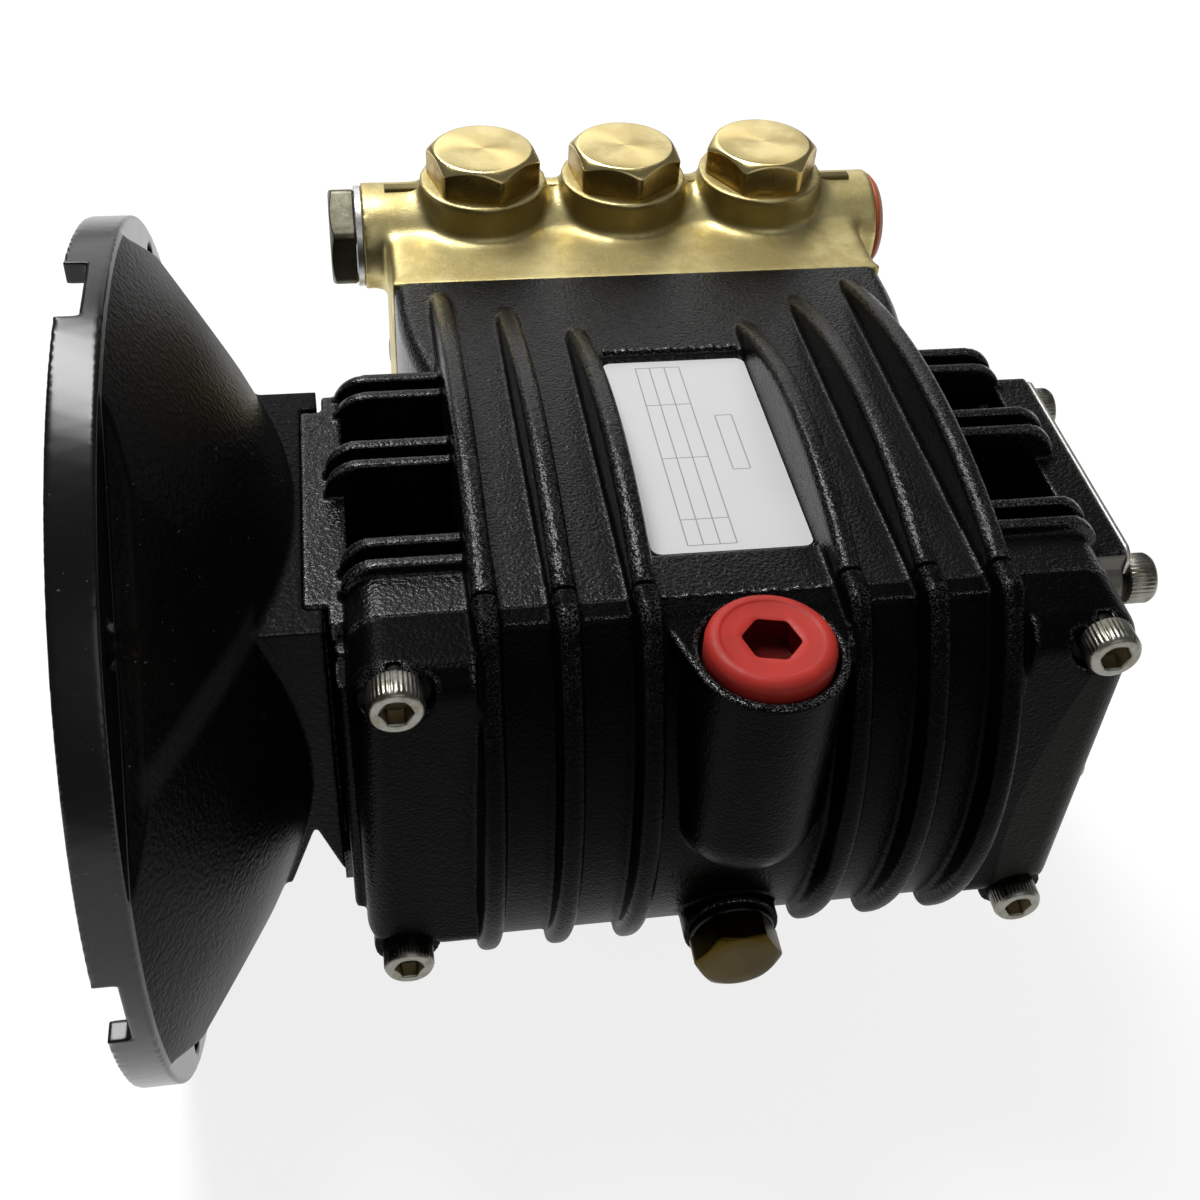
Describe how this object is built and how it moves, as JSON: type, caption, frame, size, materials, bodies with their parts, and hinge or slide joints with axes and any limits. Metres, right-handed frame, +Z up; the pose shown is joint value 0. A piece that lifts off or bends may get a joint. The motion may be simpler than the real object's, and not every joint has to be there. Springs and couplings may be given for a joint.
{
  "type": "high-pressure plunger pump",
  "caption": "High-pressure triplex plunger pump with a brass valve head, a ribbed black crankcase and a bell flange that bolts to the face of an electric motor.",
  "frame": {"origin": "centre of the flange face that meets the motor, on the crankshaft's axis", "axes": "+X along the crankshaft from the motor into the pump, +Y towards the valve head, +Z up, towards the outlet valve caps"},
  "size_m": [0.2001, 0.2115, 0.171],
  "materials": {
    "black_cast_paint": "gloss black paint over a pebbled casting",
    "zinc_screw": "zinc plated, knurled",
    "bare_aluminium": "machined, matt",
    "head_brass": "forged and blasted, mottled",
    "cap_brass": "turned",
    "dull_plug_brass": "dull, machined",
    "washer_aluminium": "soft, smooth",
    "orange_plastic": "moulded",
    "red_plastic": "moulded, satin",
    "seal_rubber": "smooth",
    "ground_steel": "ground",
    "white_plate": "printed film"
  },
  "bodies": {
    "root": {"bearing_cover": "bare_aluminium", "bearing_screw_1": "zinc_screw", "bearing_screw_2": "zinc_screw", "bearing_screw_3": "zinc_screw", "bearing_screw_4": "zinc_screw", "cover_screw_1": "zinc_screw", "cover_screw_2": "zinc_screw", "cover_screw_3": "zinc_screw", "cover_screw_4": "zinc_screw", "crankcase": "black_cast_paint", "drain_plug": "cap_brass", "drain_washer": "washer_aluminium", "filler_seal": "seal_rubber", "flange_screw_1": "zinc_screw", "flange_screw_2": "zinc_screw", "flange_screw_3": "zinc_screw", "flange_screw_4": "zinc_screw", "head_bolt_1": "zinc_screw", "head_bolt_2": "zinc_screw", "head_bolt_3": "zinc_screw", "head_bolt_4": "zinc_screw", "head_bolt_5": "zinc_screw", "head_bolt_6": "zinc_screw", "head_bolt_7": "zinc_screw", "head_bolt_8": "zinc_screw", "hollow_shaft": "ground_steel", "inlet_port_cap": "orange_plastic", "inlet_port_plug": "dull_plug_brass", "inlet_port_washer": "washer_aluminium", "inlet_valve_cap_1": "cap_brass", "inlet_valve_cap_2": "cap_brass", "inlet_valve_cap_3": "cap_brass", "motor_flange": "black_cast_paint", "oil_filler_plug": "red_plastic", "outlet_port_cap": "orange_plastic", "outlet_port_plug": "dull_plug_brass", "outlet_port_washer": "washer_aluminium", "outlet_valve_cap_1": "cap_brass", "outlet_valve_cap_2": "cap_brass", "outlet_valve_cap_3": "cap_brass", "pump_head": "head_brass", "rating_plate": "white_plate", "rear_cover": "black_cast_paint", "shaft_seal": "seal_rubber"}
  },
  "joints": []
}
